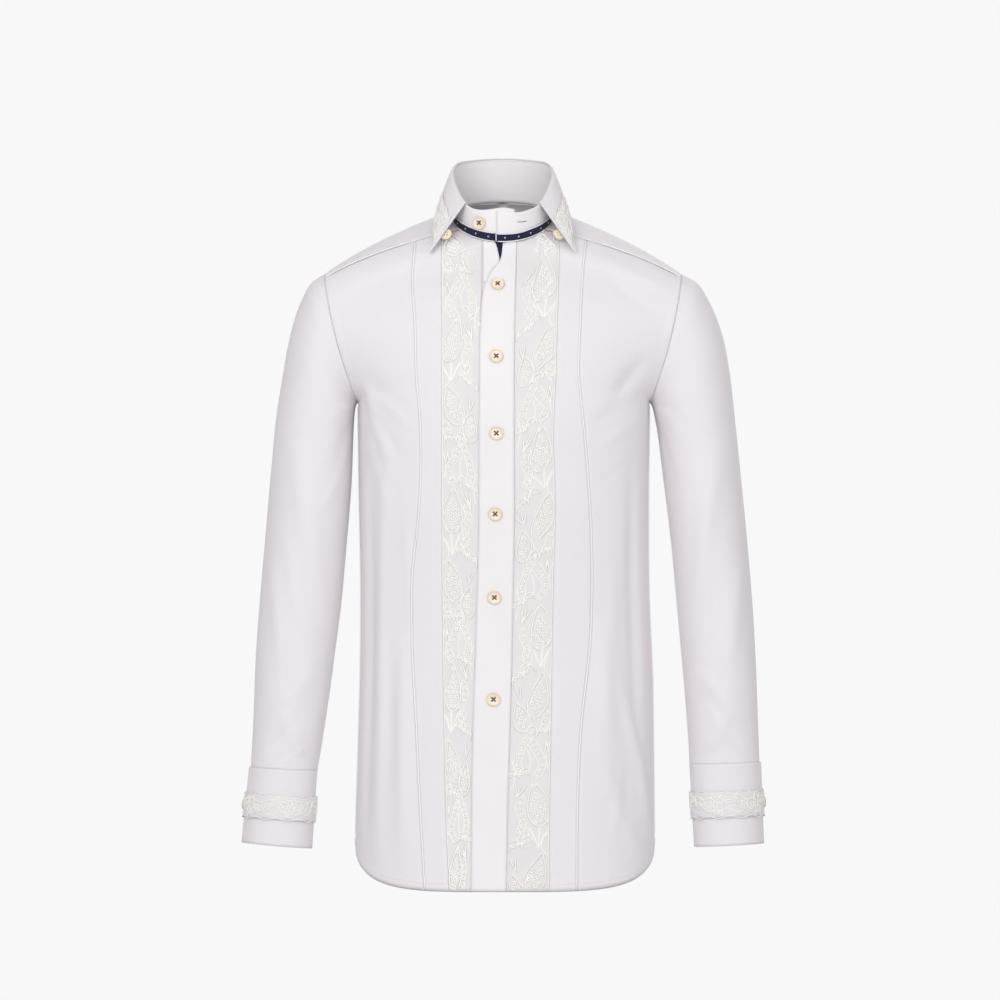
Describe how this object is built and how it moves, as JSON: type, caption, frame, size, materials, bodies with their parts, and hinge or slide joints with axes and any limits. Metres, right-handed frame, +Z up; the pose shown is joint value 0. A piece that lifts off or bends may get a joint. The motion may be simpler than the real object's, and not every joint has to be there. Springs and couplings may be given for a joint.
{
  "type": "long-sleeved dress shirt with lace fronts",
  "caption": "Long-sleeved dress shirt in white cotton with lace strips beside the placket, lace at cuffs and collar and a navy neck tape; hollow, in its worn pose.",
  "frame": {"origin": "between the wearer's shoulders, at the height of the front of the neck seam", "axes": "+Z up, -Y the way the wearer faces, +X the wearer's left"},
  "size_m": [0.6205, 0.2477, 0.8767],
  "materials": {
    "cotton": "white cotton, matt, faintly lilac in the shade",
    "band_cotton": "white cotton over interlining, smooth",
    "lace": "cream corded lace on a sheer net",
    "tape": "navy woven tape, matt",
    "button": "cream, pearly, with a beige rim"
  },
  "bodies": {
    "root": {"back": "cotton", "yoke": "cotton", "front_right_side": "cotton", "front_left_side": "cotton", "front_right_strip": "cotton", "front_left_strip": "cotton", "sleeve_right": "cotton", "sleeve_left": "cotton", "button_band": "band_cotton", "placket": "band_cotton", "cuff_right": "band_cotton", "cuff_left": "band_cotton", "collar_stand": "band_cotton", "collar_fall": "band_cotton", "sleeve_placket_right": "band_cotton", "sleeve_placket_left": "band_cotton", "lace_right": "lace", "lace_left": "lace", "cuff_lace_right": "lace", "cuff_lace_left": "lace", "collar_lace_right": "lace", "collar_lace_left": "lace", "band_tape": "tape", "neck_tape": "tape", "placket_button_1": "button", "placket_button_2": "button", "placket_button_3": "button", "placket_button_4": "button", "placket_button_5": "button", "placket_button_6": "button", "collar_button": "button", "collar_point_button_right": "button", "collar_point_button_left": "button", "cuff_button_right": "button", "cuff_button_left": "button"}
  },
  "joints": []
}
